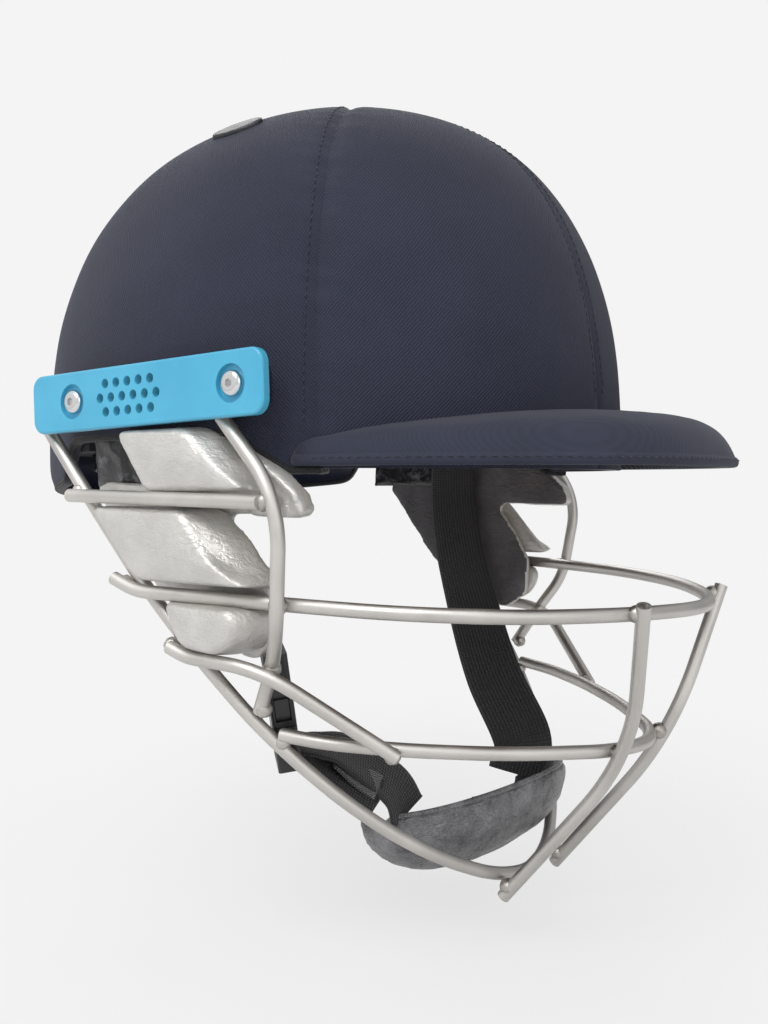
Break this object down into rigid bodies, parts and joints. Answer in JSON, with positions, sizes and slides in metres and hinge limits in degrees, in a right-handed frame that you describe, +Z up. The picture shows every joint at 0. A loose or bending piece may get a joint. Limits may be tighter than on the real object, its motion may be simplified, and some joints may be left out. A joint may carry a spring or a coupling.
{
  "type": "cricket helmet",
  "caption": "Cloth-covered cricket helmet with a peak, a tube face guard, padded ear guards bolted under side plates, and a webbing chin harness with a padded cup.",
  "frame": {"origin": "middle of the head space, at the height where the shell is widest", "axes": "+Z up, -Y the way the face looks, +X the wearer's left"},
  "size_m": [0.2278, 0.2976, 0.3005],
  "materials": {
    "navy_cloth": "fine navy twill, matt",
    "under_cloth": "plain dark cloth",
    "board": "moulded board",
    "spacer_plastic": "moulded nylon",
    "shell_plastic": "moulded ABS",
    "binding_tape": "woven tape",
    "foam": "closed-cell foam",
    "brow_cloth": "orange-yellow brushed cloth",
    "pad_lining": "glossy black synthetic leather",
    "polished_metal": "bright plated steel",
    "blue_plate": "satin blue moulding",
    "yellow_sheet": "pale yellow sheet",
    "nut_metal": "plated steel",
    "guard_metal": "satin titanium tube",
    "silver_leather": "silver synthetic leather",
    "rivet_metal": "plated steel",
    "webbing": "black woven webbing",
    "buckle_plastic": "black moulded acetal",
    "cup_lining": "soft dark lining",
    "cup_leather": "dark grey synthetic leather"
  },
  "bodies": {
    "helmet": {"brace_left": "guard_metal", "brace_right": "guard_metal", "brow_pad": "brow_cloth", "chin_bar": "guard_metal", "cover_front_left": "navy_cloth", "cover_front_right": "navy_cloth", "cover_rear_left": "navy_cloth", "cover_rear_right": "navy_cloth", "crown_badge": "polished_metal", "crown_pad": "pad_lining", "ear_pad_lower_left": "silver_leather", "ear_pad_lower_right": "silver_leather", "ear_pad_middle_left": "silver_leather", "ear_pad_middle_right": "silver_leather", "ear_pad_upper_left": "silver_leather", "ear_pad_upper_right": "silver_leather", "ear_panel_left": "silver_leather", "ear_panel_right": "silver_leather", "ear_rail_left": "guard_metal", "ear_rail_right": "guard_metal", "edge_binding": "binding_tape", "front_post_left": "guard_metal", "front_post_right": "guard_metal", "impact_liner": "foam", "lower_rail": "guard_metal", "mount_bracket_left": "guard_metal", "mount_bracket_right": "guard_metal", "nape_pad": "pad_lining", "peak_board": "board", "peak_cover": "navy_cloth", "peak_lining": "under_cloth", "plate_insert_left": "yellow_sheet", "plate_insert_right": "yellow_sheet", "plate_screws": "polished_metal", "screw_nuts": "nut_metal", "shell": "shell_plastic", "shell_spacers": "spacer_plastic", "side_pad_left": "pad_lining", "side_pad_right": "pad_lining", "side_plate_left": "blue_plate", "side_plate_right": "blue_plate", "strap_rivet_left": "rivet_metal", "strap_rivet_right": "rivet_metal", "strut_left": "guard_metal", "strut_right": "guard_metal", "top_rail": "guard_metal"},
    "chin_harness": {"buckle_plug": "buckle_plastic", "buckle_socket": "buckle_plastic", "chin_cup": "cup_leather", "chin_cup_lining": "cup_lining", "strap_left": "webbing", "strap_lower": "webbing", "strap_tail": "webbing", "strap_upper": "webbing"},
    "release_rear": {"buckle_arm_rear": "buckle_plastic"},
    "release_front": {"buckle_arm_front": "buckle_plastic"}
  },
  "joints": [
    {"name": "chin_swing", "type": "hinge", "parent": "helmet", "child": "chin_harness", "pos_m": [0, 0.0035, 0.02], "axis": [1, 0, 0], "range_deg": [0, 24]},
    {"name": "release_rear", "type": "hinge", "parent": "chin_harness", "child": "release_rear", "pos_m": [-0.06429, -0.0172, -0.09184], "axis": [0.6881, -0.7126, 0.1369], "range_deg": [0, 6], "stiffness_Nm_per_rad": 0.05},
    {"name": "release_front", "type": "hinge", "parent": "chin_harness", "child": "release_front", "pos_m": [-0.07963, -0.03198, -0.09168], "axis": [-0.6881, 0.7126, -0.1369], "range_deg": [0, 6], "stiffness_Nm_per_rad": 0.05}
  ],
  "couplings": [
    {"joint": "release_front", "follows": "release_rear", "ratio": 1}
  ]
}
